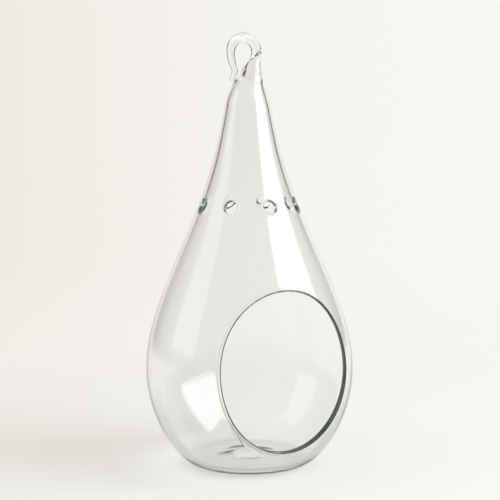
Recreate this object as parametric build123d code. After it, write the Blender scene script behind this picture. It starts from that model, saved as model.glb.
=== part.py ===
from build123d import *

import os
from math import asin, cos, degrees, radians, sin, sqrt, tan

# Hanging teardrop vessel of clear blown glass, standing on its foot.
# Millimetres, +Z up, origin in the middle of the foot, the side mouth facing -Y.
# The glass is worked in zones that are fused face to face: bulb, base, mouth lip, vent lips and hook.

# Outside of the body: radius and height at the places where a glass worker gauges it
FOOT_RADIUS = 30.0
HEEL_RADIUS = 44.1
HEEL_HEIGHT = 9.5
BELLY_RADIUS = 60.0
BELLY_HEIGHT = 56.0
SHOULDER_RADIUS = 43.5
SHOULDER_HEIGHT = 116.0
THROAT_RADIUS = 20.0
THROAT_HEIGHT = 176.0
NECK_RADIUS = 13.2
NECK_HEIGHT = 206.0
NECK_TAPER = 10.5

# Thickness of the glass at the same places: level, but upright in the floor and square to the heel
FLOOR_WALL = 4.2
HEEL_WALL = 3.8
BELLY_WALL = 3.0
SHOULDER_WALL = 2.8
THROAT_WALL = 2.4
NECK_WALL = 1.8

# Base: where the thick bottom ends, its push-up underneath and the pontil's swell on the floor
BASE_SEAM_HEIGHT = 9.0
PUNT_RADIUS = 20.0
PUNT_DEPTH = 1.4
PONTIL_RADIUS = 11.0
PONTIL_RISE = 1.1

# Side mouth: clear oval with its sill above the base's seam, and the fire-polished lip around it
MOUTH_WIDTH = 76.0
MOUTH_TALL = 89.5
MOUTH_SILL = 6.75
MOUTH_LIP_WIDTH = 2.6
MOUTH_LIP_PROUD = 0.35
MOUTH_LIP_ROUND = 1.3

# Ring of air vents above the shoulder, each with a rounded lip
VENT_COUNT = 8
VENT_HEIGHT = 150.8
VENT_BORE = 7.0
VENT_LIP_WIDTH = 1.8
VENT_LIP_PROUD = 0.3
VENT_LIP_ROUND = 1.1
VENT_DRILL_REACH = 12.0

# Hook: a stem, hollow at its root, that tapers to a rod, bends over in a crook and ends in a kicked-out tip
STEM_TOP_WALL = 0.8
STEM_WALL_SWELL = 0.8
BORE_SHIFT = 0.9
STEM_LOWER_HANDLE = 11.6
STEM_UPPER_HANDLE = 4.8
STEM_UPPER_RADIUS = 2.5
CROOK_ROOT_RADIUS = 3.2
ROD_RADIUS = 2.65
EYE_RADIUS = 8.0
EYE_OFFSET = -2.3
EYE_RISE = 31.6
CROOK_LEAN = 14.6
TIP_BEND_RADIUS = 20.0
TIP_BEND_ANGLE = 26.0
TIP_KICK_RADIUS = 4.5
TIP_KICK_ANGLE = 48.0
TIP_RUN = 3.2
TIP_NECK_RADIUS = 1.85
TIP_END_RADIUS = 1.55
TIP_BEAD_RADIUS = 1.75

# Number of round sections that the hook is drawn through
STEM_COUNT = 6
CROOK_COUNT = 8
BEND_COUNT = 3
KICK_COUNT = 3

OUTWARD = (1, 0)
NECK_RUN = (-sin(radians(NECK_TAPER)), cos(radians(NECK_TAPER)))
FRONT_REACH = BELLY_RADIUS + MOUTH_LIP_WIDTH
MOUTH_HEIGHT = BASE_SEAM_HEIGHT + MOUTH_SILL + MOUTH_TALL / 2


def body_curve(foot, heel, belly, shoulder, throat, neck):
    """Half outline of the body, each gauged point moved into the glass by the depth given for it."""
    diagonal = heel / sqrt(2)
    points = [
        (FOOT_RADIUS, foot),
        (HEEL_RADIUS - diagonal, HEEL_HEIGHT + diagonal),
        (BELLY_RADIUS - belly, BELLY_HEIGHT),
        (SHOULDER_RADIUS - shoulder, SHOULDER_HEIGHT),
        (THROAT_RADIUS - throat, THROAT_HEIGHT),
        (NECK_RADIUS - neck, NECK_HEIGHT),
    ]
    return Spline(points, tangents=[OUTWARD, NECK_RUN], tangent_scalars=[1, 1])


def outer_curve(proud=0.0):
    """Outside of the glass, or a skin that stands proud of it."""
    return body_curve(0.0, -proud, -proud, -proud, -proud, -proud)


def inner_curve(proud=0.0):
    """Inside of the glass, or a skin that stands proud of it into the hollow."""
    walls = [HEEL_WALL, BELLY_WALL, SHOULDER_WALL, THROAT_WALL, NECK_WALL]
    return body_curve(FLOOR_WALL, *[wall + proud for wall in walls])


def cap_arc(radius, rise, level):
    """Half outline of a shallow round cap, from its top on the axis down to its rim."""
    sphere = (radius**2 + rise**2) / (2 * rise)
    return CenterArc((0, level + rise - sphere), sphere, 90, -degrees(asin(radius / sphere)))


def glass_wall(proud=0.0):
    """The whole blown wall from the foot to the neck, or a thicker one for the lips."""
    outer = outer_curve(proud)
    inner = inner_curve(proud)
    punt = cap_arc(PUNT_RADIUS, PUNT_DEPTH, 0)
    pontil = cap_arc(PONTIL_RADIUS, PONTIL_RISE, FLOOR_WALL)
    section = [
        punt,
        Line(punt @ 1, outer @ 0),
        outer,
        Line(outer @ 1, inner @ 1),
        inner,
        Line(inner @ 0, pontil @ 1),
        pontil,
        Line(pontil @ 0, punt @ 0),
    ]
    return revolve(Plane.XZ * make_face(section), Axis.Z)


def make_base(wall):
    """Thick pressed bottom, pushed up underneath so that it stands on a ring."""
    return split(wall, bisect_by=Plane.XY.offset(BASE_SEAM_HEIGHT), keep=Keep.BOTTOM)


def mouth_bar(margin=0.0):
    """Oval bar through the front wall, wider all round than the clear mouth by a margin."""
    oval = Ellipse(MOUTH_WIDTH / 2 + margin, MOUTH_TALL / 2 + margin)
    return extrude(Plane.XZ * (Pos(0, MOUTH_HEIGHT) * oval), amount=FRONT_REACH)


def vent_plane():
    """Plane square to the outside of the wall at the vents' height, on the -Y side."""
    curve = outer_curve()
    low = 0.0
    high = 1.0
    while high - low > 1e-9:
        middle = (low + high) / 2
        if (curve @ middle).Y < VENT_HEIGHT:
            low = middle
        else:
            high = middle
    point = curve @ low
    run = curve % low
    return Plane(origin=(0, -point.X, point.Y), x_dir=(0, -run.X, run.Y), z_dir=(0, -run.Y, -run.X))


def vent_bar(margin=0.0):
    """Round bar through the wall at one vent, wider than its bore by a margin all round."""
    return vent_plane() * Cylinder(VENT_BORE / 2 + margin, 2 * VENT_DRILL_REACH)


def polished_ring(wall, outside, bore, rounding):
    """Ring of wall between two bars, with both edges of its bore rounded over."""
    ring = wall & outside
    rims = (ring - bore).edges().filter_by(lambda edge: on_bore(edge, bore))
    return fillet(rims, rounding)


def on_bore(edge, bore):
    """Whether an edge runs round the surface of a bar."""
    return edge.geom_type != GeomType.LINE and bore.distance_to(edge.position_at(0.3)) < 1e-4


def make_mouth_lip():
    """Fire-polished bead around the side mouth."""
    wall = glass_wall(MOUTH_LIP_PROUD)
    return polished_ring(wall, mouth_bar(MOUTH_LIP_WIDTH), mouth_bar(), MOUTH_LIP_ROUND)


def make_vent_lips():
    """The vents' rounded lips, one on each of the even turns about the axis."""
    wall = glass_wall(VENT_LIP_PROUD)
    first = polished_ring(wall, vent_bar(VENT_LIP_WIDTH), vent_bar(), VENT_LIP_ROUND)
    return [first.rotate(Axis.Z, turn * 360 / VENT_COUNT) for turn in range(VENT_COUNT)]


def make_bulb(wall):
    """Blown teardrop wall, cut away for the mouth lip and the vent lips."""
    bulb = split(wall, bisect_by=Plane.XY.offset(BASE_SEAM_HEIGHT), keep=Keep.TOP)
    bulb -= mouth_bar(MOUTH_LIP_WIDTH)
    for turn in range(VENT_COUNT):
        bulb -= vent_bar(VENT_LIP_WIDTH).rotate(Axis.Z, turn * 360 / VENT_COUNT)
    return bulb


def hook_round(place, run, radius):
    """One round section of the hook, square to its run."""
    square = Plane(origin=(place.X, 0, place.Y), x_dir=(0, 1, 0), z_dir=(run.X, 0, run.Y))
    return square * Circle(radius)


def drawn(handles, share):
    """Place on a smooth draw between handles at a share of its way, and the run there."""
    while len(handles) > 2:
        handles = [first + (second - first) * share for first, second in zip(handles, handles[1:])]
    run = handles[1] - handles[0]
    return handles[0] + run * share, run


def stem_at(share):
    """Centre, run and radius of the stem at a share of its way from the neck's seam to the crook."""
    lean = radians(CROOK_LEAN)
    top = Vector(EYE_OFFSET + EYE_RADIUS * cos(lean), EYE_RISE - EYE_RADIUS * sin(lean))
    below_top = top - Vector(sin(lean), cos(lean)) * STEM_UPPER_HANDLE
    place, run = drawn([Vector(0, 0), Vector(0, STEM_LOWER_HANDLE), below_top, top], share)
    lower_radius = NECK_RADIUS - STEM_LOWER_HANDLE * tan(radians(NECK_TAPER))
    radius, _ = drawn([NECK_RADIUS, lower_radius, STEM_UPPER_RADIUS, CROOK_ROOT_RADIUS], share)
    return place, run, radius


def stem_rounds():
    """Sections of the stem, from the neck's seam up to where the crook begins."""
    return [hook_round(*stem_at(step / STEM_COUNT)) for step in range(STEM_COUNT)]


def crook_edges():
    """Centre lines of the crook, of the bend towards the stem and of the kick away from it."""
    crook = CenterArc((EYE_OFFSET, EYE_RISE), EYE_RADIUS, -CROOK_LEAN, 180 + CROOK_LEAN)
    bend_centre = crook @ 1 + Vector(TIP_BEND_RADIUS, 0)
    bend = CenterArc(bend_centre, TIP_BEND_RADIUS, 180, TIP_BEND_ANGLE)
    kick_centre = bend_centre + (bend @ 1 - bend_centre) * (1 + TIP_KICK_RADIUS / TIP_BEND_RADIUS)
    kick = CenterArc(kick_centre, TIP_KICK_RADIUS, TIP_BEND_ANGLE, -TIP_KICK_ANGLE)
    return crook, bend, kick


def tapered_rounds(edge, count, first_radius, last_radius):
    """Even sections along one stretch of the hook, without its last one."""
    shares = [step / count for step in range(count)]
    return [
        hook_round(edge @ share, edge % share, first_radius + (last_radius - first_radius) * share)
        for share in shares
    ]


def make_hook():
    """Drawn glass hook whose stem closes the hollow of the neck and whose rod ends in a small bead."""
    crook, bend, kick = crook_edges()
    end = kick @ 1 + (kick % 1) * TIP_RUN
    rounds = stem_rounds()
    rounds += tapered_rounds(crook, CROOK_COUNT, CROOK_ROOT_RADIUS, ROD_RADIUS)
    rounds += tapered_rounds(bend, BEND_COUNT, ROD_RADIUS, TIP_NECK_RADIUS)
    rounds += tapered_rounds(kick, KICK_COUNT, TIP_NECK_RADIUS, TIP_NECK_RADIUS)
    rounds.append(hook_round(kick @ 1, kick % 1, TIP_NECK_RADIUS))
    rounds.append(hook_round(end, kick % 1, TIP_END_RADIUS))
    hook = loft(rounds) + Pos(end.X, 0, end.Y) * Sphere(TIP_BEAD_RADIUS)
    return Pos(0, 0, NECK_HEIGHT) * (hook - drawn_bore())


def drawn_bore():
    """Hollow of the neck, drawn out to a point inside the stem and off its middle, away from the tip."""
    rounds = []
    for step in range(STEM_COUNT):
        share = step / STEM_COUNT
        place, run, radius = stem_at(share)
        swell = sin(radians(180 * share))
        wall = NECK_WALL + (STEM_TOP_WALL - NECK_WALL) * share + STEM_WALL_SWELL * swell
        rounds.append(hook_round(place + Vector(BORE_SHIFT * swell, 0), run, radius - wall))
    point, _, _ = stem_at(1)
    return loft([*rounds, Vertex(point.X, 0, point.Y)])


def main():
    """Build every zone of the glass and write one file for each."""
    wall = glass_wall()
    nodes = {
        "glass_bulb": make_bulb(wall),
        "base": make_base(wall),
        "mouth_lip": make_mouth_lip(),
        "hanging_hook": make_hook(),
    }
    for number, lip in enumerate(make_vent_lips(), start=1):
        nodes[f"vent_lip_{number}"] = lip
    os.makedirs("parts", exist_ok=True)
    for name, shape in nodes.items():
        export_step(shape, f"parts/{name}.step")
        print(name, "solids", len(shape.solids()), "volume", round(shape.volume, 1))


if __name__ == "__main__":
    main()
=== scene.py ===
import logging
import math
from collections.abc import Callable
from dataclasses import dataclass, field
from enum import Enum, IntEnum

import bmesh
import bpy
import numpy as np
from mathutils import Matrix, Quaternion, Vector


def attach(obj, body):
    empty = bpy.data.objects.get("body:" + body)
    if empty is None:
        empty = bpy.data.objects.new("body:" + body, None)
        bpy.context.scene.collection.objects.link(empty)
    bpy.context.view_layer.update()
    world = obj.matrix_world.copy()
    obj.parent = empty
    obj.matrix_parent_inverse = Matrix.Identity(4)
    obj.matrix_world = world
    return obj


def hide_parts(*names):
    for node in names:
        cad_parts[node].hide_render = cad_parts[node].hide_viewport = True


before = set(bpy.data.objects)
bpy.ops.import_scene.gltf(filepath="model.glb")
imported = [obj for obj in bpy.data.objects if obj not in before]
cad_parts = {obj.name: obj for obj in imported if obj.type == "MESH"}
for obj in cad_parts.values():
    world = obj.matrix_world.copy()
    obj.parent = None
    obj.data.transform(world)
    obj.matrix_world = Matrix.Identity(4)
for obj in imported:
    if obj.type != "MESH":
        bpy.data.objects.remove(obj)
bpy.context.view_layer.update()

LOG = logging.getLogger("glass_vessel")
MM = 0.001
# Divisions of the blown skins, round the axis and along the wall
COLUMNS = 128
ROWS = 156
# Points that are closer than this, in metres, are one point
WELD = 1e-6
# Glossy Depth of a ray that has been mirrored at least once is above this
MIRRORED = 0.5
# Inputs of a Map Range node, in order
RANGE = ("Value", "From Min", "From Max", "To Min", "To Max")


class Zone(IntEnum):
    """Zones of the glass, one for each piece. The vents count on from VENT."""

    BULB = 1
    BASE = 2
    MOUTH_LIP = 3
    HOOK = 4
    VENT = 10


class Side(Enum):
    """The two skins of the glass wall."""

    OUTSIDE = "outside"
    INSIDE = "inside"


def linear(colour: str) -> tuple[float, float, float, float]:
    """Turns an sRGB hex colour into linear red, green, blue and alpha.

    Args:
        colour: Six hex digits after a hash sign.

    Returns:
        The linear colour, opaque.
    """
    shares = [int(colour[place:place + 2], 16) / 255 for place in (1, 3, 5)]
    channels = [share / 12.92 if share <= 0.04045 else ((share + 0.055) / 1.055) ** 2.4 for share in shares]
    return (*channels, 1.0)


def add_node(
    tree: bpy.types.NodeTree,
    kind: str,
    settings: dict[str, object] | None = None,
    inputs: dict[str | int, object] | None = None,
) -> bpy.types.Node:
    """Adds a node with its settings, and sets or links its inputs.

    Args:
        tree: The node tree that gets the node.
        kind: The node's type name.
        settings: Values of the node's own properties.
        inputs: For each input, a value, or the output socket that feeds it.

    Returns:
        The new node.
    """
    node = tree.nodes.new(kind)
    for name, value in (settings or {}).items():
        setattr(node, name, value)
    for name, value in (inputs or {}).items():
        if isinstance(value, bpy.types.NodeSocket):
            tree.links.new(value, node.inputs[name])
        else:
            node.inputs[name].default_value = value
    return node


def bare_tree(owner: bpy.types.Material | bpy.types.World) -> bpy.types.NodeTree:
    """Turns on the nodes of a material or a world and clears them away.

    Args:
        owner: The material or world.

    Returns:
        Its empty node tree.
    """
    owner.use_nodes = True
    owner.node_tree.nodes.clear()
    return owner.node_tree


def add_object(name: str, data: bpy.types.ID) -> bpy.types.Object:
    """Adds an object to the scene.

    Args:
        name: Name of the object.
        data: The mesh, lamp or camera that it shows.

    Returns:
        The object, at the origin.
    """
    made = bpy.data.objects.new(name, data)
    bpy.context.scene.collection.objects.link(made)
    return made


def eased(share: float) -> float:
    """Gives a share from 0 to 1 that leaves and arrives gently."""
    return share**2 * (3 - 2 * share)


def drawn(
    handles: list[Vector] | list[float], share: float
) -> tuple[Vector, Vector] | tuple[float, float]:
    """Follows a smooth draw between handles.

    Args:
        handles: Vectors or numbers that the draw is pulled towards in turn.
        share: How far along the draw, from 0 to 1.

    Returns:
        The value there and its run.
    """
    while len(handles) > 2:
        handles = [first + (second - first) * share for first, second in zip(handles, handles[1:])]
    run = handles[1] - handles[0]
    return handles[0] + run * share, run


def around(radius: float, height: float, turn: float) -> Vector:
    """Gives the point at a radius and height, turned about the upright axis."""
    return Vector((radius * math.cos(turn), radius * math.sin(turn), height))


class GaugedCurve:
    """Smooth half outline through gauged points in millimetres, with a unit run at each end."""

    STRETCH_STEPS = 240
    SLOPE_STEP = 0.5

    def __init__(
        self,
        points: list[tuple[float, float]],
        first_run: tuple[float, float],
        last_run: tuple[float, float],
    ) -> None:
        """Bends the curve through its points.

        Args:
            points: Radius and height of each gauged point, from the foot up.
            first_run: Direction in which the curve leaves the first point.
            last_run: Direction in which it reaches the last one.
        """
        knots = np.array(points, float)
        gaps = np.linalg.norm(np.diff(knots, axis=0), axis=1)
        slopes = np.diff(knots, axis=0) / gaps[:, None]
        bends = self._bends(gaps, slopes, np.array(first_run), np.array(last_run))
        stretches = []
        for place, gap in enumerate(gaps):
            along = np.linspace(0, gap, self.STRETCH_STEPS, endpoint=place == len(gaps) - 1)[:, None]
            start = slopes[place] - gap * (2 * bends[place] + bends[place + 1]) / 6
            growth = (bends[place + 1] - bends[place]) / (6 * gap)
            stretches.append(knots[place] + start * along + bends[place] / 2 * along**2 + growth * along**3)
        path = np.concatenate(stretches)
        self.radii = path[:, 0]
        self.heights = path[:, 1]
        steps = np.linalg.norm(np.diff(path, axis=0), axis=1)
        self.lengths = np.concatenate([[0.0], np.cumsum(steps)])

    @staticmethod
    def _bends(gaps: np.ndarray, slopes: np.ndarray, first: np.ndarray, last: np.ndarray) -> np.ndarray:
        """Solves for the bend at each gauged point of a curve clamped at both ends.

        Args:
            gaps: Distance between each two points.
            slopes: Straight run between each two points.
            first: Run at the first point.
            last: Run at the last point.

        Returns:
            The bend at each point.
        """
        count = len(gaps) + 1
        system = np.zeros((count, count))
        known = np.zeros((count, 2))
        system[0, :2] = 2 * gaps[0], gaps[0]
        known[0] = 6 * (slopes[0] - first)
        for place in range(1, count - 1):
            before, after = gaps[place - 1], gaps[place]
            system[place, place - 1:place + 2] = before, 2 * (before + after), after
            known[place] = 6 * (slopes[place] - slopes[place - 1])
        system[-1, -2:] = gaps[-1], 2 * gaps[-1]
        known[-1] = 6 * (last - slopes[-1])
        return np.linalg.solve(system, known)

    def radius_at(self, height: float) -> float:
        """Gives the radius of the outline at a height."""
        return float(np.interp(height, self.heights, self.radii))

    def square_at(self, point: Vector) -> Vector:
        """Gives the direction square to the turned outline at a point's height and turn."""
        slope = self.radius_at(point.z + self.SLOPE_STEP) - self.radius_at(point.z - self.SLOPE_STEP)
        return around(2 * self.SLOPE_STEP, -slope, math.atan2(point.y, point.x)).normalized()

    def between(self, low: float, high: float, count: int) -> list[tuple[float, float]]:
        """Divides a stretch of the outline evenly by its length.

        Args:
            low: Height where the stretch begins.
            high: Height where it ends.
            count: Number of divisions.

        Returns:
            Radius and height at each division, one more than the count.
        """
        first, last = np.interp([low, high], self.heights, self.lengths)
        places = np.linspace(first, last, count + 1)
        radii = np.interp(places, self.lengths, self.radii)
        heights = np.interp(places, self.lengths, self.heights)
        return [(float(radius), float(height)) for radius, height in zip(radii, heights)]


class GlassSkin:
    """The closed skin of the whole vessel in one mesh.

    Faces carry the zone that they belong to. Vertices carry the seam that they lie on, by the zone that
    joins the bulb there, and their place on their ring.
    """

    def __init__(self) -> None:
        """Starts an empty skin."""
        self.mesh = bmesh.new()
        self.zone = self.mesh.faces.layers.int.new("zone")
        self.seam = self.mesh.verts.layers.int.new("seam")
        self.place = self.mesh.verts.layers.int.new("place")
        self.shade = self.mesh.verts.layers.float_vector.new("shade")

    def rim(self, seam: int) -> list[bmesh.types.BMEdge]:
        """Lists the open edges along a seam.

        Args:
            seam: The zone that joins the bulb there.

        Returns:
            The edges.
        """
        return [
            edge
            for edge in self.mesh.edges
            if edge.is_boundary and all(vert[self.seam] == seam for vert in edge.verts)
        ]

    def claim(self, zone: int) -> None:
        """Gives the faces that have no zone yet to a zone.

        Args:
            zone: The zone that gets them.
        """
        for face in self.mesh.faces:
            if face[self.zone] == 0:
                face[self.zone] = zone

    def follow(
        self, edges: list[bmesh.types.BMEdge], zone: int, place_vert: Callable[[int], Vector]
    ) -> list[bmesh.types.BMEdge]:
        """Draws a ring of edges on by one step.

        Args:
            edges: The ring that is drawn on.
            zone: Zone of the faces that this makes.
            place_vert: Gives a new vertex's point in metres from its place on the ring.

        Returns:
            The edges of the new ring.
        """
        made = bmesh.ops.extrude_edge_only(self.mesh, edges=edges)["geom"]
        fresh = {item for item in made if isinstance(item, bmesh.types.BMVert)}
        for vert in fresh:
            vert.co = place_vert(vert[self.place])
            vert[self.seam] = 0
            vert[self.shade] = (0, 0, 0)
        for face in {face for vert in fresh for face in vert.link_faces}:
            face[self.zone] = zone
        drawn_edges = [item for item in made if isinstance(item, bmesh.types.BMEdge)]
        return [edge for edge in drawn_edges if all(vert in fresh for vert in edge.verts)]

    def close(self, edges: list[bmesh.types.BMEdge], point: Vector) -> None:
        """Draws the verts of a ring together in one point, in metres."""
        verts = list(dict.fromkeys(vert for edge in edges for vert in edge.verts))
        bmesh.ops.pointmerge(self.mesh, verts=verts, merge_co=point)

    def turn_profile(self, profile: list[tuple[float, float]], zone: int) -> None:
        """Turns a half outline about the upright axis.

        Args:
            profile: Radius and height in millimetres, from the seam to the axis.
            zone: Zone of the faces that this makes.
        """
        verts = [self.mesh.verts.new((radius * MM, 0, height * MM)) for radius, height in profile]
        edges = [self.mesh.edges.new(pair) for pair in zip(verts, verts[1:])]
        verts[0][self.seam] = zone
        bmesh.ops.spin(
            self.mesh,
            geom=verts + edges,
            cent=(0, 0, 0),
            axis=(0, 0, 1),
            angle=math.tau,
            steps=COLUMNS,
            use_merge=True,
        )
        self.claim(zone)

    def blow(
        self, curve: GaugedCurve, low: float, high: float, openings: list["Opening"], outward: float
    ) -> None:
        """Blows one skin of the bulb and cuts its openings.

        Args:
            curve: Half outline of the skin.
            low: Height of the seam with the base.
            high: Height of the seam with the hook.
            openings: The mouth and the vents.
            outward: 1 for the outside, whose faces look away from the axis, and -1 for the inside.
        """
        made = bmesh.ops.create_grid(self.mesh, x_segments=COLUMNS, y_segments=ROWS, size=0.5)["verts"]
        run = curve.between(low, high, ROWS)
        ends = {0: int(Zone.BASE), ROWS: int(Zone.HOOK)}
        for vert in made:
            column = round((vert.co.x + 0.5) * COLUMNS)
            row = round((vert.co.y + 0.5) * ROWS)
            vert[self.place] = column % COLUMNS
            vert[self.seam] = ends.get(row, 0)
            vert.co = around(*run[row], math.tau * column / COLUMNS) * MM
        bmesh.ops.remove_doubles(self.mesh, verts=made, dist=WELD)
        for opening in openings:
            self._cut(curve, opening)
        for vert in self._fresh():
            vert[self.shade] = curve.square_at(vert.co / MM) * outward
        self.claim(Zone.BULB)

    def _fresh(self) -> list[bmesh.types.BMVert]:
        """Lists the vertices of the skin that is being blown, in an order that is the same each run."""
        faces = [face for face in self.mesh.faces if face[self.zone] == 0]
        return list(dict.fromkeys(vert for face in faces for vert in face.verts))

    def _cut(self, curve: GaugedCurve, opening: "Opening") -> None:
        """Takes the glass out of an opening and joins the skin to the seam around it.

        Args:
            curve: Half outline of the skin.
            opening: The mouth or a vent.
        """
        verts = [vert for vert in self._fresh() if opening.covers(vert.co / MM, opening.cut_gap)]
        bmesh.ops.delete(self.mesh, geom=verts, context="VERTS")
        gap = opening.cut_gap + opening.find_gap
        torn = [
            edge
            for edge in dict.fromkeys(edge for vert in self._fresh() for edge in vert.link_edges)
            if edge.is_boundary
            and not all(vert[self.seam] for vert in edge.verts)
            and opening.covers((edge.verts[0].co + edge.verts[1].co) / 2 / MM, gap)
        ]
        ring = bmesh.ops.create_circle(self.mesh, cap_ends=False, segments=opening.count, radius=1.0)["verts"]
        for place, vert in enumerate(ring):
            vert.co = opening.rim(curve, place, opening.lip_width) * MM
            vert[self.place] = place
            vert[self.seam] = opening.zone
        edges = list(dict.fromkeys(edge for vert in ring for edge in vert.link_edges))
        bmesh.ops.bridge_loops(self.mesh, edges=torn + edges)

    def finish(self) -> None:
        """Welds the skins, turns every face outwards and keeps the smooth normals."""
        bmesh.ops.remove_doubles(self.mesh, verts=self.mesh.verts[:], dist=WELD)
        bmesh.ops.recalc_face_normals(self.mesh, faces=self.mesh.faces[:])
        self.mesh.normal_update()
        for vert in self.mesh.verts:
            if vert[self.shade].length < 0.5:
                vert[self.shade] = vert.normal
        open_edges = sum(not edge.is_manifold for edge in self.mesh.edges)
        LOG.info("skin: %d faces, %d open edges", len(self.mesh.faces), open_edges)

    def cut_out(self, zone: int, name: str) -> bpy.types.Object:
        """Cuts one zone out of the skin and closes it with fused faces along its seams.

        Args:
            zone: The zone to cut out.
            name: Name of the piece.

        Returns:
            The piece, whose fused faces have the second material.
        """
        part = self.mesh.copy()
        zones = part.faces.layers.int["zone"]
        seams = part.verts.layers.int["seam"]
        bmesh.ops.delete(part, geom=[face for face in part.faces if face[zones] != zone], context="FACES")
        for face in part.faces:
            face.smooth = True
        open_edges = [edge for edge in part.edges if edge.is_boundary]
        for seam in sorted({edge.verts[0][seams] for edge in open_edges}):
            rims = [edge for edge in open_edges if edge.verts[0][seams] == seam]
            for face in bmesh.ops.bridge_loops(part, edges=rims)["faces"]:
                face.material_index = 1
        bmesh.ops.recalc_face_normals(part, faces=part.faces[:])
        mesh = bpy.data.meshes.new(name)
        part.to_mesh(mesh)
        part.free()
        shades = np.zeros(len(mesh.vertices) * 3, np.float32)
        mesh.attributes["shade"].data.foreach_get("vector", shades)
        for layer in ("zone", "seam", "place", "shade"):
            mesh.attributes.remove(mesh.attributes[layer])
        mesh.normals_split_custom_set_from_vertices(shades.reshape(-1, 3).tolist())
        return add_object(name, mesh)


@dataclass
class Opening:
    """An opening through the wall with a fire-polished lip around it, in millimetres."""

    zone: int
    count: int
    lip_width: float
    lip_proud: float
    inner_reach: float
    outer_reach: float
    cut_gap: float
    find_gap: float
    outer_round: float
    inner_round: float
    squareness: float = 1.0
    square_by: float = 0.4
    rise_steps: int = 4
    round_steps: int = 8
    halvings: int = 36

    def line(self, place: int, margin: float) -> tuple[Vector, Vector]:
        """Gives a point and the direction of the line through the wall at a place round the opening."""
        raise NotImplementedError

    def covers(self, point: Vector, gap: float) -> bool:
        """Tells whether a point lies within the lip and a gap around it."""
        raise NotImplementedError

    def rim(self, curve: GaugedCurve, place: int, margin: float) -> Vector:
        """Finds where the opening meets a skin.

        Args:
            curve: Half outline of the skin.
            place: Place round the opening.
            margin: Width left outside the clear opening.

        Returns:
            The point on the skin.
        """
        origin, direction = self.line(place, margin)
        low, high = self.inner_reach, self.outer_reach
        for _ in range(self.halvings):
            middle = (low + high) / 2
            point = origin + direction * middle
            if math.hypot(point.x, point.y) < curve.radius_at(point.z):
                low = middle
            else:
                high = middle
        return origin + direction * low

    def edges(self, place: int) -> tuple[float, float, float]:
        """Gives the rounding of the lip's outer and inner edge, and how proud it stands, at a place."""
        return self.outer_round, self.inner_round, self.lip_proud

    def half_section(
        self, half_wall: float, width: float, rounding: float, proud: float
    ) -> list[tuple[float, float]]:
        """Divides one side of the lip's section: a smooth way off the wall and a rounded edge.

        Args:
            half_wall: Half of the wall's thickness at the seam.
            width: Width of the lip there.
            rounding: Radius of the edge.
            proud: How far it stands out from the wall.

        Returns:
            Reach from the seam and height over the middle of the wall at each division after the seam.
        """
        points = []
        for step in range(1, self.rise_steps + 1):
            share = step / self.rise_steps
            points.append(((width - rounding) * share, half_wall + proud * eased(share)))
        for step in range(1, self.round_steps + 1):
            angle = math.pi / 2 * step / self.round_steps
            drop = rounding * (1 - math.cos(angle))
            points.append((width - rounding * (1 - math.sin(angle)), half_wall + proud - drop))
        return points

    def section(self, half_wall: float, width: float, place: int) -> list[tuple[float, float]]:
        """Divides the lip's section from the outer seam over its end to the inner seam.

        Args:
            half_wall: Half of the wall's thickness at the seam.
            width: Width of the lip there.
            place: Place round the opening.

        Returns:
            Reach from the seam and height over the middle of the wall at each division after the outer seam.
        """
        outer, inner, proud = self.edges(place)
        over = self.half_section(half_wall, width, outer, proud)
        under = self.half_section(half_wall, width, inner, proud)
        back = [(reach, -height) for reach, height in reversed(under)]
        return over + back + [(0.0, -half_wall)]

    def polish(self, skin: GlassSkin, outer: GaugedCurve, inner: GaugedCurve) -> None:
        """Rounds the lip over from the outer skin's seam to the inner one's, square to the wall.

        Args:
            skin: The mesh, with the outer skin blown.
            outer: Half outline of the outer skin.
            inner: Half outline of the inner skin.
        """
        firsts = [self.rim(outer, place, self.lip_width) for place in range(self.count)]
        lasts = [self.rim(inner, place, self.lip_width) for place in range(self.count)]
        middles = [(first + last) / 2 for first, last in zip(firsts, lasts)]
        paths = []
        for place, middle in enumerate(middles):
            bore = (self.rim(outer, place, 0.0) + self.rim(inner, place, 0.0)) / 2
            along = middles[(place + 1) % self.count] - middles[place - 1]
            square = outer.square_at(middle)
            lead = along.cross(square).normalized()
            lead *= math.copysign(1, lead.dot(bore - middle))
            seam = (firsts[place] - lasts[place]) / 2
            half_wall = seam.dot(square)
            width = lead.dot(bore - middle)
            path = []
            for reach, height in self.section(half_wall, width, place):
                share = min(1.0, reach / (self.square_by * width))
                stand = (seam / half_wall).lerp(square, self.squareness * eased(share))
                path.append(middle + stand * height + lead * reach)
            paths.append(path)
        edges = skin.rim(self.zone)
        for step in range(len(paths[0])):
            edges = skin.follow(edges, self.zone, lambda place: paths[place][step] * MM)
        for vert in {vert for edge in edges for vert in edge.verts}:
            vert[skin.seam] = self.zone


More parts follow.
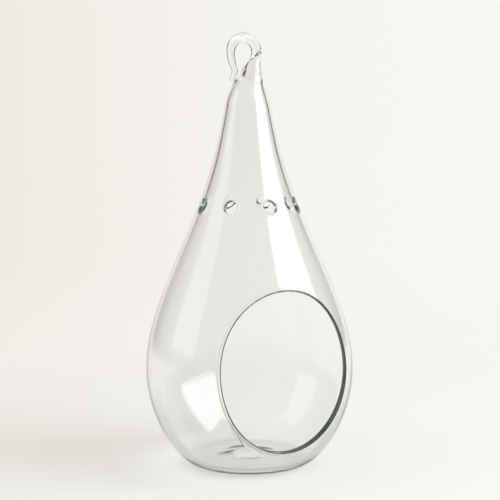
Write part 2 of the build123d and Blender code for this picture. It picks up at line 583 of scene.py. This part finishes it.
@dataclass
class SideMouth(Opening):
    """The large oval mouth in the front of the belly."""

    zone: int = Zone.MOUTH_LIP
    count: int = 160
    lip_width: float = 2.6
    lip_proud: float = 0.0
    inner_reach: float = 0.0
    outer_reach: float = 75.0
    cut_gap: float = 0.9
    find_gap: float = 5.0
    outer_round: float = 0.4
    inner_round: float = 2.0
    left_round: float = 0.75
    left_proud: float = -0.7
    sag: float = 0.8
    squareness: float = 0.5
    width: float = 76.0
    tall: float = 89.5
    height: float = 60.5

    def line(self, place: int, margin: float) -> tuple[Vector, Vector]:
        """Gives the level line through the wall at a place round the oval.

        Args:
            place: Place round the oval.
            margin: Width left outside the clear opening.

        Returns:
            A point on the line and its direction.
        """
        angle = math.tau * place / self.count
        across = (self.width / 2 + margin) * math.cos(angle)
        rise = (self.tall / 2 + margin) * math.sin(angle)
        return Vector((across, 0, self.height + rise)), Vector((0, -1, 0))

    def edges(self, place: int) -> tuple[float, float, float]:
        """Gives the edges' shape: the molten rim sags below, and the flame drew it thinnest on the left.

        Args:
            place: Place round the oval.

        Returns:
            Rounding of the outer and inner edge, and how proud the lip stands.
        """
        angle = math.tau * place / self.count
        below, left = (1 - math.sin(angle)) / 2, (1 - math.cos(angle)) / 2
        right_edges = Vector((self.outer_round, self.inner_round - self.sag * below**2, self.lip_proud))
        return tuple(right_edges.lerp((self.left_round, self.left_round, self.left_proud), left**2))

    def covers(self, point: Vector, gap: float) -> bool:
        """Tells whether a point lies in front, within the oval, its lip and a gap around them.

        Args:
            point: The point.
            gap: Width of the gap.

        Returns:
            Whether it does.
        """
        margin = self.lip_width + gap
        across = point.x / (self.width / 2 + margin)
        rise = (point.z - self.height) / (self.tall / 2 + margin)
        return point.y < 0 and math.hypot(across, rise) < 1


@dataclass
class AirVent(Opening):
    """One of the small round vents above the shoulder."""

    zone: int = Zone.VENT
    count: int = 40
    lip_width: float = 1.8
    lip_proud: float = -0.35
    inner_reach: float = -12.0
    outer_reach: float = 8.0
    cut_gap: float = 0.5
    find_gap: float = 2.6
    outer_round: float = 0.7
    inner_round: float = 0.9
    bore: float = 7.0
    nearby: float = 14.0
    centre: Vector = field(default_factory=Vector)
    square: Vector = field(default_factory=Vector)

    def line(self, place: int, margin: float) -> tuple[Vector, Vector]:
        """Gives the line square to the wall at a place round the vent.

        Args:
            place: Place round the vent.
            margin: Width left outside the clear opening.

        Returns:
            A point on the line and its direction.
        """
        level = Vector((0, 0, 1)).cross(self.square).normalized()
        upward = self.square.cross(level)
        angle = math.tau * place / self.count
        radius = self.bore / 2 + margin
        return self.centre + (level * math.cos(angle) + upward * math.sin(angle)) * radius, self.square

    def covers(self, point: Vector, gap: float) -> bool:
        """Tells whether a point lies on the vent's side, within the vent, its lip and a gap around them.

        Args:
            point: The point.
            gap: Width of the gap.

        Returns:
            Whether it does.
        """
        offset = point - self.centre
        away = offset - self.square * offset.dot(self.square)
        return offset.length < self.nearby and away.length < self.bore / 2 + self.lip_width + gap


@dataclass
class BlownWall:
    """The blown teardrop wall: gauged radii, heights and thicknesses in millimetres."""

    foot_radius: float = 30.0
    heel: tuple[float, float] = (44.1, 9.5)
    belly: tuple[float, float] = (60.0, 56.0)
    shoulder: tuple[float, float] = (43.5, 116.0)
    throat: tuple[float, float] = (20.0, 176.0)
    neck: tuple[float, float] = (13.2, 206.0)
    neck_taper: float = 10.5
    floor_wall: float = 4.2
    heel_wall: float = 3.8
    belly_wall: float = 3.0
    shoulder_wall: float = 2.8
    throat_wall: float = 2.4
    neck_wall: float = 1.8
    vent_count: int = 8
    vent_height: float = 150.8

    def curve(self, side: Side) -> GaugedCurve:
        """Bends the half outline of one side of the wall.

        Args:
            side: Outside or inside.

        Returns:
            The outline from the foot or floor up to the neck.
        """
        depth = float(side is Side.INSIDE)
        slant = depth * self.heel_wall / math.sqrt(2)
        points = [
            (self.foot_radius, depth * self.floor_wall),
            (self.heel[0] - slant, self.heel[1] + slant),
            (self.belly[0] - depth * self.belly_wall, self.belly[1]),
            (self.shoulder[0] - depth * self.shoulder_wall, self.shoulder[1]),
            (self.throat[0] - depth * self.throat_wall, self.throat[1]),
            (self.neck[0] - depth * self.neck_wall, self.neck[1]),
        ]
        taper = math.radians(self.neck_taper)
        return GaugedCurve(points, (1.0, 0.0), (-math.sin(taper), math.cos(taper)))

    def vents(self) -> list[AirVent]:
        """Places the vents evenly round the wall, square to its outside.

        Returns:
            The vents, the first of them above the mouth.
        """
        outer = self.curve(Side.OUTSIDE)
        radius = outer.radius_at(self.vent_height)
        vents = []
        for number in range(self.vent_count):
            turn = math.tau * number / self.vent_count - math.pi / 2
            centre = around(radius, self.vent_height, turn)
            vents.append(AirVent(zone=Zone.VENT + number, centre=centre, square=outer.square_at(centre)))
        return vents


@dataclass
class PressedBase:
    """The thick bottom with its push-up underneath and the pontil's swell on the floor, in millimetres."""

    seam_height: float = 9.0
    punt_radius: float = 20.0
    punt_depth: float = 1.4
    pontil_radius: float = 11.0
    pontil_rise: float = 1.1
    heel_steps: int = 24
    ring_steps: int = 6
    floor_steps: int = 13
    cap_steps: int = 12

    def cap(self, radius: float, rise: float, level: float) -> list[tuple[float, float]]:
        """Divides a shallow round cap from its rim to the axis.

        Args:
            radius: Radius of the cap's rim.
            rise: Height of its top above the rim.
            level: Height of the rim.

        Returns:
            Radius and height at each division after the rim.
        """
        sphere = (radius**2 + rise**2) / (2 * rise)
        places = [radius * step / self.cap_steps for step in reversed(range(self.cap_steps))]
        return [(place, level + rise - sphere + math.sqrt(sphere**2 - place**2)) for place in places]

    def turn(self, skin: GlassSkin, wall: BlownWall, side: Side) -> None:
        """Turns one side of the bottom: heel, foot ring and push-up, or heel, floor and pontil's swell.

        Args:
            skin: The mesh.
            wall: The wall that the heel goes on from.
            side: Outside or inside.
        """
        if side is Side.OUTSIDE:
            level, steps = 0.0, self.ring_steps
            radius, rise = self.punt_radius, self.punt_depth
        else:
            level, steps = wall.floor_wall, self.floor_steps
            radius, rise = self.pontil_radius, self.pontil_rise
        heel = wall.curve(side).between(level, self.seam_height, self.heel_steps)[::-1]
        flat = [(place, level) for place in np.linspace(wall.foot_radius, radius, steps + 1)[1:]]
        skin.turn_profile(heel + flat + self.cap(radius, rise, level), Zone.BASE)


@dataclass
class DrawnHook:
    """The hook drawn from the neck: hollow stem, crook and kicked-out tip, in millimetres and degrees."""

    stem_top_wall: float = 0.7
    stem_back_wall: float = 0.4
    fold_wall: float = 1.75
    fold_at: float = 0.49
    fold_spread: float = 0.13
    back_spread: float = 1.6
    back_lead: float = 0.35
    bore_narrows: int = 54
    bore_steps: int = 94
    bore_bend: float = 1.25
    lower_handle: float = 11.6
    upper_handle: float = 4.8
    upper_radius: float = 2.5
    root_radius: float = 3.2
    rod_radius: float = 2.65
    eye_radius: float = 8.0
    eye_offset: float = -2.3
    eye_rise: float = 31.6
    lean: float = 14.6
    bend_radius: float = 20.0
    bend_angle: float = 26.0
    kick_radius: float = 4.5
    kick_angle: float = 48.0
    tip_run: float = 3.2
    tip_neck_radius: float = 1.85
    tip_end_radius: float = 1.55
    bead_radius: float = 1.75
    stem_steps: int = 72
    crook_steps: int = 128
    bend_steps: int = 24
    kick_steps: int = 24
    tip_steps: int = 4
    bead_steps: int = 9
    bead_close: float = 84.0

    def stem_at(self, wall: BlownWall, share: float) -> tuple[Vector, Vector, float]:
        """Follows the stem from the neck to the crook.

        Args:
            wall: The wall that it is drawn from.
            share: How far along the stem, from 0 to 1.

        Returns:
            Centre, run and radius of the stem there.
        """
        lean = math.radians(self.lean)
        eye = Vector((self.eye_offset, self.eye_rise))
        top = eye + Vector((math.cos(lean), -math.sin(lean))) * self.eye_radius
        below = top - Vector((math.sin(lean), math.cos(lean))) * self.upper_handle
        place, run = drawn([Vector((0, 0)), Vector((0, self.lower_handle)), below, top], share)
        lower = wall.neck[0] - self.lower_handle * math.tan(math.radians(wall.neck_taper))
        radius, _ = drawn([wall.neck[0], lower, self.upper_radius, self.root_radius], share)
        return place, run.normalized(), radius

    @staticmethod
    def arc(
        centre: Vector, radius: float, first: float, sweep: float, steps: int, radii: tuple[float, float]
    ) -> list[tuple[Vector, Vector, float]]:
        """Divides an arc of the hook.

        Args:
            centre: Middle of the arc.
            radius: Radius of the arc's centre line.
            first: Angle where it begins.
            sweep: Angle that it turns through.
            steps: Number of divisions.
            radii: Radius of the rod at its first and last end.

        Returns:
            Centre, run and radius at each division after the first end.
        """
        rounds = []
        for step in range(1, steps + 1):
            share = step / steps
            angle = math.radians(first + sweep * share)
            out = Vector((math.cos(angle), math.sin(angle)))
            run = Vector((-out.y, out.x)) * math.copysign(1, sweep)
            rounds.append((centre + out * radius, run, radii[0] + (radii[1] - radii[0]) * share))
        return rounds

    def rounds(self, wall: BlownWall) -> tuple[list[tuple[Vector, Vector, float]], Vector]:
        """Lists the round sections of the whole hook.

        Args:
            wall: The wall that it is drawn from.

        Returns:
            Centre, run and radius of each section, and the end of the bead.
        """
        rounds = [self.stem_at(wall, step / self.stem_steps) for step in range(1, self.stem_steps + 1)]
        eye = Vector((self.eye_offset, self.eye_rise))
        radii = (self.root_radius, self.rod_radius)
        rounds += self.arc(eye, self.eye_radius, -self.lean, 180 + self.lean, self.crook_steps, radii)
        bend_centre = rounds[-1][0] + Vector((self.bend_radius, 0))
        radii = (self.rod_radius, self.tip_neck_radius)
        rounds += self.arc(bend_centre, self.bend_radius, 180, self.bend_angle, self.bend_steps, radii)
        kick_centre = bend_centre + (rounds[-1][0] - bend_centre) * (1 + self.kick_radius / self.bend_radius)
        radii = (self.tip_neck_radius, self.tip_neck_radius)
        kick = (self.bend_angle, -self.kick_angle, self.kick_steps)
        rounds += self.arc(kick_centre, self.kick_radius, *kick, radii)
        start, run, radius = rounds[-1]
        end = start + run * self.tip_run
        neck = math.sqrt(self.bead_radius**2 - self.tip_end_radius**2)
        for step in range(1, self.tip_steps):
            share = step / self.tip_steps
            place = start + run * (self.tip_run - neck) * share
            rounds.append((place, run, radius + (self.tip_end_radius - radius) * share))
        first, last = math.asin(-neck / self.bead_radius), math.radians(self.bead_close)
        for angle in np.linspace(first, last, self.bead_steps):
            place = end + run * self.bead_radius * math.sin(angle)
            rounds.append((place, run, self.bead_radius * math.cos(angle)))
        return rounds, end + run * self.bead_radius

    def draw_rounds(
        self, skin: GlassSkin, wall: BlownWall, rounds: list[tuple[Vector, Vector, float]], end: Vector
    ) -> None:
        """Draws the open ring at the neck through round sections to a closed end.

        Args:
            skin: The mesh, with one open ring at the neck.
            wall: The wall that the hook is drawn from.
            rounds: Centre, run and radius of each section.
            end: Point where the draw closes.
        """
        edges = skin.rim(Zone.HOOK)
        for place, run, radius in rounds:
            middle = Vector((place.x, 0, place.y + wall.neck[1]))
            across = Vector((run.y, 0, -run.x))

            def on_round(column: int) -> Vector:
                """Gives the point of the section at a column."""
                turn = math.tau * column / COLUMNS
                return (middle + (across * math.cos(turn) + Vector((0, math.sin(turn), 0))) * radius) * MM

            edges = skin.follow(edges, Zone.HOOK, on_round)
        point = Vector((end.x, 0, end.y + wall.neck[1])) * MM
        edges = skin.follow(edges, Zone.HOOK, lambda column: point)
        skin.close(edges, point)

    def draw_outside(self, skin: GlassSkin, wall: BlownWall) -> None:
        """Draws the outside of the hook from the neck to the bead."""
        self.draw_rounds(skin, wall, *self.rounds(wall))

    def draw_bore(self, skin: GlassSkin, wall: BlownWall) -> None:
        """Draws the hollow of the neck up the stem, past a fold of thicker glass, to a point along its back.

        Args:
            skin: The mesh, with the inner skin's ring open at the neck.
            wall: The wall that the hook is drawn from.
        """
        rounds = []
        for step, (place, run, radius) in enumerate(self.rounds(wall)[0][: self.bore_steps], 1):
            share = min(1.0, step / self.stem_steps)
            past = (share - self.fold_at) / self.fold_spread
            fold = self.fold_wall * math.exp(-(past**2))
            front = wall.neck_wall + (self.stem_top_wall - wall.neck_wall) * share + fold
            rise = min(1.0, max(0.0, past / self.back_spread + self.back_lead))
            back = wall.neck_wall + (self.stem_back_wall - wall.neck_wall) * eased(rise)
            tail = max(0, step - self.bore_narrows) / (self.bore_steps - self.bore_narrows)
            bore = (radius - (front + back) / 2) * (1 - tail**self.bore_bend)
            shift = Vector((run.y, -run.x)) * (radius - back - bore)
            rounds.append((place + shift, run, bore))
        end, _, _ = rounds.pop()
        self.draw_rounds(skin, wall, rounds, end)


@dataclass(frozen=True)
class ClearGlass:
    """Borosilicate glass, blown and fire-polished: clear, with slow waves that bend what it mirrors."""

    name: str = "fire-polished borosilicate glass"
    tint: str = "#FEFEFE"
    ior: float = 1.474
    smooth: float = 0.0
    smudged: float = 0.02
    wave_mm: float = 34.0
    wave_height_mm: float = 0.05
    wave_detail: float = 1.0
    wave_roughness: float = 0.4
    smudge_mm: float = 22.0
    smudge_detail: float = 3.0
    smudge_range: tuple[float, float] = (0.52, 0.78)
    # Painted glow in place of light run round inside the wall: colour, low and high strength, heights between,
    # mirrorings before it starts
    painted_glow_colour: str = "#8FA096"
    painted_glow_levels: tuple[float, float] = (0.12, 0.28)
    painted_glow_heights_mm: tuple[float, float] = (112.0, 138.0)
    painted_glow_bounces: float = 3.5

    def make(self) -> bpy.types.Material:
        """Makes the material.

        Returns:
            The glass, with waves of the flame work in its normals, faint smudges in its gloss, and a painted
            grey-green glow where rays run deep in its wall.
        """
        material = bpy.data.materials.new(self.name)
        tree = bare_tree(material)
        spot = add_node(tree, "ShaderNodeTexCoord").outputs["Object"]
        # Waves left by the flame, so that a straight softbox edge comes back slightly bent
        wave_inputs = {
            "Vector": spot,
            "Scale": 1 / (self.wave_mm * MM),
            "Detail": self.wave_detail,
            "Roughness": self.wave_roughness,
        }
        wave = add_node(tree, "ShaderNodeTexNoise", None, wave_inputs)
        bump_inputs = {"Height": wave.outputs["Fac"], "Strength": 1.0, "Distance": self.wave_height_mm * MM}
        bump = add_node(tree, "ShaderNodeBump", None, bump_inputs)
        # Faint smudges of handling, which dull the gloss a little in patches
        smudge_inputs = {"Vector": spot, "Scale": 1 / (self.smudge_mm * MM), "Detail": self.smudge_detail}
        smudge = add_node(tree, "ShaderNodeTexNoise", None, smudge_inputs)
        gloss_range = (smudge.outputs["Fac"], *self.smudge_range, self.smooth, self.smudged)
        gloss = add_node(tree, "ShaderNodeMapRange", None, dict(zip(RANGE, gloss_range)))
        # Painted glow: a ray mirrored more than three times in the glass glows grey-green, in place of the
        # light that runs round inside the wall and out at its edges; the glow is paler from 112 to 138 mm up,
        # where the wall is thin
        upward = add_node(tree, "ShaderNodeSeparateXYZ", None, {0: spot}).outputs["Z"]
        level_range = (upward, *(height * MM for height in self.painted_glow_heights_mm), *self.painted_glow_levels)
        level = add_node(tree, "ShaderNodeMapRange", None, dict(zip(RANGE, level_range))).outputs["Result"]
        depth = add_node(tree, "ShaderNodeLightPath").outputs["Glossy Depth"]
        deep_inputs = {0: depth, 1: self.painted_glow_bounces}
        deep = add_node(tree, "ShaderNodeMath", {"operation": "GREATER_THAN"}, deep_inputs)
        run = add_node(tree, "ShaderNodeMath", {"operation": "MULTIPLY"}, {0: deep.outputs[0], 1: level})
        glass_inputs = {
            "Base Color": linear(self.tint),
            "IOR": self.ior,
            "Transmission Weight": 1.0,
            "Roughness": gloss.outputs["Result"],
            "Normal": bump.outputs["Normal"],
            "Emission Color": linear(self.painted_glow_colour),
            "Emission Strength": run.outputs[0],
        }
        shader = add_node(tree, "ShaderNodeBsdfPrincipled", None, glass_inputs)
        add_node(tree, "ShaderNodeOutputMaterial", None, {"Surface": shader.outputs["BSDF"]})
        return material


@dataclass(frozen=True)
class FusedSeam:
    """The inside of the glass where two zones are fused: nothing shows there, so light goes straight on."""

    name: str = "fused glass seam"

    def make(self) -> bpy.types.Material:
        """Makes the material.

        Returns:
            The seam, which can't be seen.
        """
        material = bpy.data.materials.new(self.name)
        tree = bare_tree(material)
        clear = add_node(tree, "ShaderNodeBsdfTransparent", None, {"Color": (1.0, 1.0, 1.0, 1.0)})
        add_node(tree, "ShaderNodeOutputMaterial", None, {"Surface": clear.outputs["BSDF"]})
        return material


@dataclass
class GlassVessel:
    """The whole vessel, built as one skin and cut into its zones."""

    wall: BlownWall = field(default_factory=BlownWall)
    base: PressedBase = field(default_factory=PressedBase)
    mouth: SideMouth = field(default_factory=SideMouth)
    hook: DrawnHook = field(default_factory=DrawnHook)

    def build(self) -> dict[str, bpy.types.Object]:
        """Builds the skin and cuts it into pieces.

        Returns:
            Each CAD node's name with the piece that stands for it.
        """
        skin = GlassSkin()
        vents = self.wall.vents()
        openings = [self.mouth, *vents]
        outer = self.wall.curve(Side.OUTSIDE)
        inner = self.wall.curve(Side.INSIDE)
        skin.blow(outer, self.base.seam_height, self.wall.neck[1], openings, 1.0)
        for opening in openings:
            opening.polish(skin, outer, inner)
        self.hook.draw_outside(skin, self.wall)
        self.base.turn(skin, self.wall, Side.OUTSIDE)
        skin.blow(inner, self.base.seam_height, self.wall.neck[1], openings, -1.0)
        self.hook.draw_bore(skin, self.wall)
        self.base.turn(skin, self.wall, Side.INSIDE)
        skin.finish()
        pieces = {
            "glass_bulb": skin.cut_out(Zone.BULB, "bulb_glass"),
            "base": skin.cut_out(Zone.BASE, "base_glass"),
            "mouth_lip": skin.cut_out(Zone.MOUTH_LIP, "mouth_lip_glass"),
            "hanging_hook": skin.cut_out(Zone.HOOK, "hook_glass"),
        }
        for number, vent in enumerate(vents, start=1):
            pieces[f"vent_lip_{number}"] = skin.cut_out(vent.zone, f"vent_lip_glass_{number}")
        skin.mesh.free()
        return pieces

    def dress(self, pieces: dict[str, bpy.types.Object]) -> None:
        """Gives every piece its glass and ties it to the frame.

        Args:
            pieces: Each CAD node's name with its piece.
        """
        glass = ClearGlass().make()
        seam = FusedSeam().make()
        for node, piece in pieces.items():
            piece.data.materials.append(glass)
            piece.data.materials.append(seam)
            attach(piece, "root")
            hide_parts(node)
            LOG.info("%s stands for %s: %d faces", piece.name, node, len(piece.data.polygons))


@dataclass(frozen=True)
class Softbox:
    """A softbox that faces the object's axis, in metres, watts and degrees to the right of the camera.

    It faces the axis at the height of its aim. A hidden one lights the floor, but doesn't show in the glass.
    """

    name: str
    turn: float
    reach: float
    height: float
    aim: float
    power: float
    size: tuple[float, float] = (1.0, 1.0)
    hidden: bool = False
    colour: str = "#EEF4FF"

    def hang(self, toward: Vector) -> None:
        """Hangs the softbox.

        Args:
            toward: Level direction from the object to the softbox.
        """
        data = bpy.data.lights.new(self.name, "AREA")
        data.shape = "RECTANGLE"
        data.size, data.size_y = self.size
        data.energy = self.power
        data.color = linear(self.colour)[:3]
        lamp = add_object(self.name, data)
        lamp.location = toward * self.reach + Vector((0, 0, self.height))
        sight = Vector((0, 0, self.aim)) - lamp.location
        lamp.rotation_euler = sight.to_track_quat("-Z", "Y").to_euler()
        lamp.visible_glossy = lamp.visible_transmission = not self.hidden


@dataclass
class Studio:
    """Floor, softboxes, backdrop and camera, in metres and degrees to the right of the camera.

    A lift gives the distances from the axis between which the share of the paper's glow changes, and what it
    changes to; beside the foot it paints a pool of light. A level gives the backdrop's brightness at an angle
    to either side of its middle.
    """

    camera_reach: float = 0.780
    camera_height: float = 0.2034
    camera_turn: float = -25.2
    camera_pitch: float = 5.8
    camera_roll: float = 0.42
    camera_yaw: float = 0.059
    focal_px: float = 1357.0
    image_px: float = 500.0
    sensor_mm: float = 36.0
    floor_gap: float = 0.00015
    floor_half: float = 1.6
    floor_cells: int = 8
    floor_colour: str = "#F3F1EA"
    # Painted shade: floor and backdrop are a little darker towards the left, away from the right softbox
    backdrop_left: str = "#EDEAE3"
    backdrop_middle: str = "#F5F3ED"
    backdrop_right: str = "#F8F8F3"
    floor_blend: float = 0.4
    backdrop_blend: float = 0.2
    ambient: float = 0.51
    ambient_colour: str = "#FFFAF0"
    floor_lift: float = 0.54
    # The rise of the glow's share beside the foot, from 33 to 48 mm out, paints a pool of light there
    floor_lifts: tuple[tuple[float, float, float], ...] = (
        (0.033, 0.048, 0.88),
        (0.05, 0.085, 0.5),
        (0.14, 0.42, 1.0),
    )
    floor_glow: float = 1.0
    # Painted shade in the glass: the mirrored paper's glow in front of the object, and where it dims
    floor_mirrored: float = 0.1
    mirrored_range: tuple[float, float] = (-0.25, 0.1)
    fade_range: tuple[float, float] = (0.5, 1.5)
    seen_levels: tuple[tuple[float, float], ...] = ((0, 1.0), (180, 1.0))
    through_levels: tuple[tuple[float, float], ...] = (
        (0, 1.0), (28, 1.0), (34, 0.6), (40, 0.3), (44, 0.12), (50, 0.12), (55, 1.0), (180, 1.0)
    )
    mirrored_levels: tuple[tuple[float, float], ...] = (
        (0, 1.0), (28, 1.0), (35, 0.55), (41, 0.25), (46, 0.12), (90, 0.1), (180, 0.05)
    )
    # The fill hangs a little behind the right softbox, because two lamps in one place lose light
    softboxes: tuple[Softbox, ...] = (
        Softbox("right softbox", 74.0, 0.95, height=0.7, aim=0.7, power=12.0),
        Softbox("right fill", 74.0, 0.98, height=0.7, aim=0.7, power=4.2, hidden=True),
        Softbox("left card", -80.0, 1.1, height=0.65, aim=0.65, power=2.2, size=(0.7, 1.0)),
        Softbox("overhead softbox", 150.0, 0.25, height=1.5, aim=0.1, power=3.0, size=(0.9, 0.9), hidden=True),
    )

    def toward(self, turn: float) -> Vector:
        """Gives the level direction from the object, at an angle to the right of the camera."""
        angle = math.radians(self.camera_turn + turn)
        return Vector((math.sin(angle), -math.cos(angle), 0))

    def set_camera(self) -> None:
        """Places the camera at the photograph's view."""
        data = bpy.data.cameras.new("camera")
        data.sensor_width = self.sensor_mm
        data.lens = self.focal_px / self.image_px * self.sensor_mm
        camera = add_object("camera", data)
        camera.location = self.toward(0) * self.camera_reach + Vector((0, 0, self.camera_height))
        pitch = math.radians(self.camera_pitch)
        sight = -self.toward(0) * math.cos(pitch) - Vector((0, 0, math.sin(pitch)))
        turned = Quaternion((0, 0, 1), -math.radians(self.camera_yaw)) @ sight.to_track_quat("-Z", "Y")
        camera.rotation_mode = "QUATERNION"
        camera.rotation_quaternion = turned @ Quaternion((0, 0, 1), -math.radians(self.camera_roll))
        bpy.context.scene.camera = camera

    def lay_floor(self) -> None:
        """Lays the pale floor, which fades into the backdrop away from the object."""
        plate = bmesh.new()
        cells = self.floor_cells
        bmesh.ops.create_grid(plate, x_segments=cells, y_segments=cells, size=self.floor_half)
        bmesh.ops.translate(plate, verts=plate.verts[:], vec=(0, 0, -self.floor_gap))
        mesh = bpy.data.meshes.new("floor")
        plate.to_mesh(mesh)
        plate.free()
        mesh.materials.append(self.floor_material())
        floor = add_object("floor", mesh)

    def pale(self, tree: bpy.types.NodeTree, ray: bpy.types.NodeSocket, reach: float) -> bpy.types.NodeSocket:
        """Gives the pale colour of floor and backdrop, with painted shade: a little darker towards the left,
        away from the right softbox.

        Args:
            tree: The node tree that it is for.
            ray: A direction, or a place on the floor.
            reach: How far to either side the colour changes.

        Returns:
            The colour.
        """
        side_inputs = {0: ray, 1: self.toward(90)}
        side = add_node(tree, "ShaderNodeVectorMath", {"operation": "DOT_PRODUCT"}, side_inputs)
        share_range = (side.outputs["Value"], -reach, reach)
        share = add_node(tree, "ShaderNodeMapRange", None, dict(zip(RANGE, share_range)))
        ramp = add_node(tree, "ShaderNodeValToRGB", None, {"Fac": share.outputs["Result"]})
        ramp.color_ramp.elements[0].color = linear(self.backdrop_left)
        ramp.color_ramp.elements[1].color = linear(self.backdrop_right)
        ramp.color_ramp.elements.new(0.5).color = linear(self.backdrop_middle)
        return ramp.outputs["Color"]

    def floor_material(self) -> bpy.types.Material:
        """Makes the floor's paper: lit by the lamps, lifted to the backdrop's brightness where it is seen.

        Returns:
            The material.
        """
        material = bpy.data.materials.new("pale studio paper")
        tree = bare_tree(material)
        spot = add_node(tree, "ShaderNodeTexCoord").outputs["Object"]
        colour = self.pale(tree, spot, self.floor_blend)
        away = add_node(tree, "ShaderNodeVectorMath", {"operation": "LENGTH"}, {0: spot}).outputs["Value"]
        smooth = {"interpolation_type": "SMOOTHSTEP"}
        # Under the glass the paper takes the lamps' shadow. Beside the foot the glow takes a larger share, a
        # painted pool of light in place of the light that the glass gathers there. Further out the paper is as
        # bright as the backdrop
        lift = self.floor_lift
        for near, far, level in self.floor_lifts:
            lift_range = (away, near, far, lift, level)
            lift = add_node(tree, "ShaderNodeMapRange", smooth, dict(zip(RANGE, lift_range))).outputs["Result"]
        path = add_node(tree, "ShaderNodeLightPath").outputs
        straight = {0: path["Is Camera Ray"], 1: path["Is Transmission Ray"]}
        seen = add_node(tree, "ShaderNodeMath", {"operation": "MAXIMUM"}, straight)
        seen_inputs = {0: seen.outputs[0], 1: lift}
        seen = add_node(tree, "ShaderNodeMath", {"operation": "MULTIPLY"}, seen_inputs)
        # Painted shade in the glass: mirrored, the paper shows only a glow, bright behind the object and dim
        # in front
        behind_inputs = {0: spot, 1: self.toward(180)}
        behind = add_node(tree, "ShaderNodeVectorMath", {"operation": "DOT_PRODUCT"}, behind_inputs)
        dim_range = (behind.outputs["Value"], *self.mirrored_range, self.floor_mirrored, self.floor_glow)
        dim = add_node(tree, "ShaderNodeMapRange", None, dict(zip(RANGE, dim_range))).outputs["Result"]
        mirror_inputs = {0: path["Glossy Depth"], 1: MIRRORED}
        mirror = add_node(tree, "ShaderNodeMath", {"operation": "GREATER_THAN"}, mirror_inputs)
        lifted = add_node(tree, "ShaderNodeBsdfDiffuse", None, {"Color": linear(self.floor_colour)})
        for share, strength in ((seen, self.floor_glow), (mirror, dim)):
            glow = add_node(tree, "ShaderNodeEmission", None, {"Color": colour, "Strength": strength})
            lifted_inputs = {0: share.outputs[0], 1: lifted.outputs[0], 2: glow.outputs[0]}
            lifted = add_node(tree, "ShaderNodeMixShader", None, lifted_inputs)
        # Far out the paper fades into the backdrop, so that no edge or horizon shows
        fade_range = (away, *self.fade_range)
        fade = add_node(tree, "ShaderNodeMapRange", smooth, dict(zip(RANGE, fade_range)))
        gone = add_node(tree, "ShaderNodeBsdfTransparent")
        faded_inputs = {0: fade.outputs["Result"], 1: lifted.outputs[0], 2: gone.outputs[0]}
        faded = add_node(tree, "ShaderNodeMixShader", None, faded_inputs)
        add_node(tree, "ShaderNodeOutputMaterial", None, {"Surface": faded.outputs[0]})
        return material

    @staticmethod
    def brightness(
        tree: bpy.types.NodeTree, angle: bpy.types.NodeSocket, levels: tuple[tuple[float, float], ...]
    ) -> bpy.types.NodeSocket:
        """Gives how bright the studio is at an angle to either side of the backdrop's middle.

        Args:
            tree: The world's node tree.
            angle: The angle's share of a half turn.
            levels: Angles in degrees, from 0 to 180, each with the brightness there.

        Returns:
            The brightness.
        """
        ramp = add_node(tree, "ShaderNodeValToRGB", None, {"Fac": angle})
        stops = ramp.color_ramp.elements
        for degrees, level in levels:
            place = degrees / 180
            stop = stops[0] if place == 0 else stops[-1] if place == 1 else stops.new(place)
            stop.color = (level, level, level, 1.0)
        return ramp.outputs["Color"]

    def hang_backdrop(self) -> None:
        """Makes the world: an even light, and where it is seen a pale backdrop between two dark flags."""
        world = bpy.data.worlds.new("studio")
        bpy.context.scene.world = world
        tree = bare_tree(world)
        ray = add_node(tree, "ShaderNodeTexCoord").outputs["Generated"]
        colour = self.pale(tree, ray, self.backdrop_blend)
        turn_inputs: dict[int, bpy.types.NodeSocket] = {}
        for place, degrees in enumerate((90, 180)):
            part_inputs = {0: ray, 1: self.toward(degrees)}
            part = add_node(tree, "ShaderNodeVectorMath", {"operation": "DOT_PRODUCT"}, part_inputs)
            turn_inputs[place] = part.outputs["Value"]
        turn = add_node(tree, "ShaderNodeMath", {"operation": "ARCTAN2"}, turn_inputs)
        size = add_node(tree, "ShaderNodeMath", {"operation": "ABSOLUTE"}, {0: turn.outputs[0]})
        angle_inputs = {0: size.outputs[0], 1: math.pi}
        angle = add_node(tree, "ShaderNodeMath", {"operation": "DIVIDE"}, angle_inputs).outputs[0]
        path = add_node(tree, "ShaderNodeLightPath").outputs
        mirror_inputs = {0: path["Glossy Depth"], 1: MIRRORED}
        mirror = add_node(tree, "ShaderNodeMath", {"operation": "GREATER_THAN"}, mirror_inputs)
        ambient_inputs = {"Color": linear(self.ambient_colour), "Strength": self.ambient}
        light = add_node(tree, "ShaderNodeBackground", None, ambient_inputs)
        # Rays that the glass has bent or mirrored see the backdrop between dark flags, which outline it
        for seen, levels in (
            (path["Is Camera Ray"], self.seen_levels),
            (path["Is Transmission Ray"], self.through_levels),
            (mirror.outputs[0], self.mirrored_levels),
        ):
            pale_inputs = {"Color": colour, "Strength": self.brightness(tree, angle, levels)}
            pale = add_node(tree, "ShaderNodeBackground", None, pale_inputs)
            mix_inputs = {0: seen, 1: light.outputs[0], 2: pale.outputs[0]}
            light = add_node(tree, "ShaderNodeMixShader", None, mix_inputs)
        add_node(tree, "ShaderNodeOutputWorld", None, {"Surface": light.outputs[0]})

    def build(self) -> None:
        """Sets up the camera, the floor, the backdrop and the softboxes."""
        self.set_camera()
        self.lay_floor()
        self.hang_backdrop()
        for softbox in self.softboxes:
            softbox.hang(self.toward(softbox.turn))
        bpy.context.scene.view_settings.view_transform = "Standard"


def main() -> None:
    """Builds the vessel and the studio."""
    logging.basicConfig(level=logging.INFO, format="%(name)s: %(message)s")
    vessel = GlassVessel()
    vessel.dress(vessel.build())
    Studio().build()


if __name__ == "__main__":
    main()
